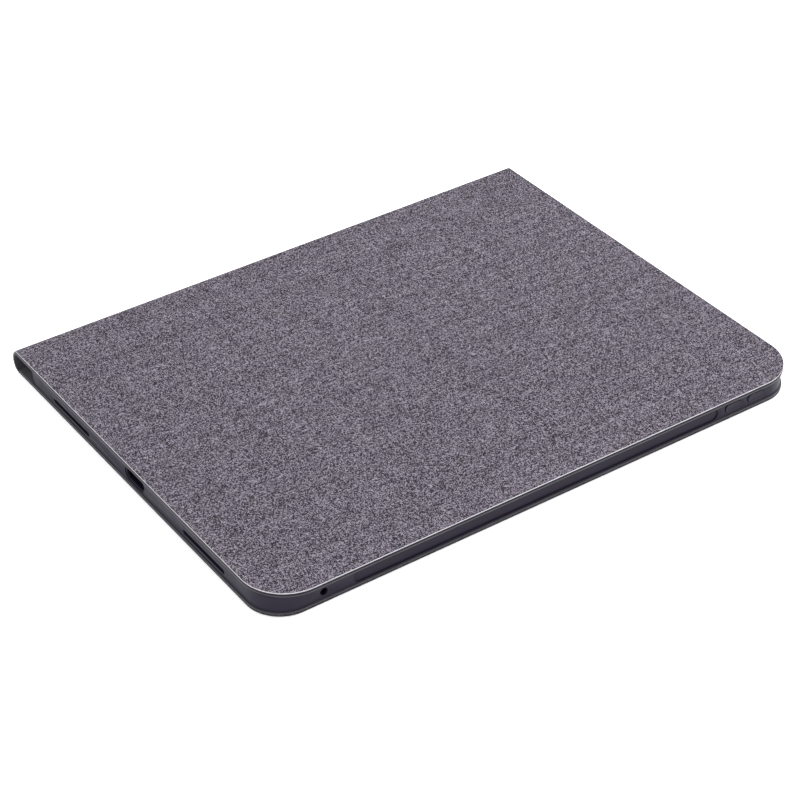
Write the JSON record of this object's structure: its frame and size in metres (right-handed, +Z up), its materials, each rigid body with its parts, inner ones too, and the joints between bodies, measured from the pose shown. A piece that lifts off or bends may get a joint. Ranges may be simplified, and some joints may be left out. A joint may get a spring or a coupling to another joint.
{
  "type": "tablet keyboard case",
  "caption": "Cloth-covered folio case with a moulded tablet tray, a folding spine and a thin detachable keyboard on the cover's inner side.",
  "frame": {"origin": "centre of the closed case's footprint, on the surface it rests on", "axes": "+X along the long side, from the tablet's port end; +Y from the opening edge to the spine; +Z up, out of the cover"},
  "size_m": [0.286, 0.2255, 0.013],
  "materials": {
    "tray": "satin moulded TPU, very dark blue-grey",
    "fabric": "woven heather grey cloth with pale and dark threads",
    "lining": "short-nap microfibre, dark grey",
    "board": "pale fibre board, its cut edge shows",
    "pad": "satin moulded TPU",
    "magnet": "nickel-plated",
    "steel": "thin sheet",
    "rubber": "matt rubber",
    "kb_shell": "fine-grained moulded plastic",
    "keycap": "matt moulded plastic",
    "dome": "silicone sheet",
    "battery": "foil pouch",
    "pcb": "solder mask",
    "lens": "clear light guide",
    "screw": "zinc-plated"
  },
  "bodies": {
    "case": {"tablet_tray": "tray", "camera_ring": "tray", "back_fabric": "fabric", "back_board_stand": "board", "back_board_tray": "board", "back_lining": "lining"},
    "volume_up": {"volume_up_pad": "pad"},
    "volume_down": {"volume_down_pad": "pad"},
    "power": {"power_pad": "pad"},
    "spine_lower": {"spine_fabric_lower": "fabric", "spine_lining_lower": "lining"},
    "spine_upper": {"spine_fabric_upper": "fabric", "spine_lining_upper": "lining"},
    "cover": {"cover_fabric": "fabric", "cover_board": "board", "cover_lining": "lining", "closure_magnets": "magnet", "holding_plates": "steel", "stand_magnet": "magnet", "stand_ledge": "rubber"},
    "keyboard": {"keyboard_base": "kb_shell", "keyboard_deck": "kb_shell", "key_plate": "steel", "dome_sheet": "dome", "battery": "battery", "circuit_board": "pcb", "charge_port": "steel", "keyboard_magnets": "magnet", "keyboard_feet": "rubber", "keyboard_screws": "screw", "screw_bosses": "kb_shell", "indicator_lenses": "lens"},
    "kb_switch": {"power_switch": "keycap"},
    "function_row": {"function_row_keys": "keycap"},
    "number_row": {"number_row_keys": "keycap"},
    "upper_row": {"upper_row_keys": "keycap"},
    "home_row": {"home_row_keys": "keycap"},
    "lower_row": {"lower_row_keys": "keycap"},
    "bottom_row": {"bottom_row_keys": "keycap"},
    "space_bar": {"space_bar": "keycap"},
    "arrow_left": {"arrow_left_key": "keycap"},
    "arrow_right": {"arrow_right_key": "keycap"},
    "arrow_up": {"arrow_up_key": "keycap"},
    "arrow_down": {"arrow_down_key": "keycap"}
  },
  "joints": [
    {"name": "cover_open", "type": "hinge", "parent": "spine_upper", "child": "cover", "pos_m": [0, 0.10825, 0.013], "axis": [-1, 0, 0], "range_deg": [0, 38]},
    {"name": "spine_middle", "type": "hinge", "parent": "spine_lower", "child": "spine_upper", "pos_m": [0, 0.11275, 0.0065], "axis": [-1, 0, 0], "range_deg": [0, 104.01]},
    {"name": "spine_foot", "type": "hinge", "parent": "case", "child": "spine_lower", "pos_m": [0, 0.10825, 0], "axis": [-1, 0, 0], "range_deg": [0, 38]},
    {"name": "keyboard_lift", "type": "slide", "parent": "cover", "child": "keyboard", "axis": [0, 0, -1], "range_m": [0, 0.0012]},
    {"name": "volume_up_press", "type": "slide", "parent": "case", "child": "volume_up", "axis": [0, 1, 0], "range_m": [0, 0.0005], "stiffness_N_per_m": 2500},
    {"name": "volume_down_press", "type": "slide", "parent": "case", "child": "volume_down", "axis": [0, 1, 0], "range_m": [0, 0.0005], "stiffness_N_per_m": 2500},
    {"name": "power_press", "type": "slide", "parent": "case", "child": "power", "axis": [-1, 0, 0], "range_m": [0, 0.0005], "stiffness_N_per_m": 2500},
    {"name": "switch_slide", "type": "slide", "parent": "keyboard", "child": "kb_switch", "axis": [0, 1, 0], "range_m": [0, 0.0026]},
    {"name": "function_row_press", "type": "slide", "parent": "keyboard", "child": "function_row", "axis": [0, 0, 1], "range_m": [0, 0.001], "stiffness_N_per_m": 1200},
    {"name": "number_row_press", "type": "slide", "parent": "keyboard", "child": "number_row", "axis": [0, 0, 1], "range_m": [0, 0.001], "stiffness_N_per_m": 1200},
    {"name": "upper_row_press", "type": "slide", "parent": "keyboard", "child": "upper_row", "axis": [0, 0, 1], "range_m": [0, 0.001], "stiffness_N_per_m": 1200},
    {"name": "home_row_press", "type": "slide", "parent": "keyboard", "child": "home_row", "axis": [0, 0, 1], "range_m": [0, 0.001], "stiffness_N_per_m": 1200},
    {"name": "lower_row_press", "type": "slide", "parent": "keyboard", "child": "lower_row", "axis": [0, 0, 1], "range_m": [0, 0.001], "stiffness_N_per_m": 1200},
    {"name": "bottom_row_press", "type": "slide", "parent": "keyboard", "child": "bottom_row", "axis": [0, 0, 1], "range_m": [0, 0.001], "stiffness_N_per_m": 1200},
    {"name": "space_bar_press", "type": "slide", "parent": "keyboard", "child": "space_bar", "axis": [0, 0, 1], "range_m": [0, 0.001], "stiffness_N_per_m": 600},
    {"name": "arrow_left_press", "type": "slide", "parent": "keyboard", "child": "arrow_left", "axis": [0, 0, 1], "range_m": [0, 0.001], "stiffness_N_per_m": 600},
    {"name": "arrow_right_press", "type": "slide", "parent": "keyboard", "child": "arrow_right", "axis": [0, 0, 1], "range_m": [0, 0.001], "stiffness_N_per_m": 600},
    {"name": "arrow_up_press", "type": "slide", "parent": "keyboard", "child": "arrow_up", "axis": [0, 0, 1], "range_m": [0, 0.001], "stiffness_N_per_m": 600},
    {"name": "arrow_down_press", "type": "slide", "parent": "keyboard", "child": "arrow_down", "axis": [0, 0, 1], "range_m": [0, 0.001], "stiffness_N_per_m": 600}
  ],
  "couplings": [
    {"joint": "spine_middle", "follows": "cover_open", "ratio": 2.7368},
    {"joint": "spine_foot", "follows": "cover_open", "ratio": 1}
  ]
}
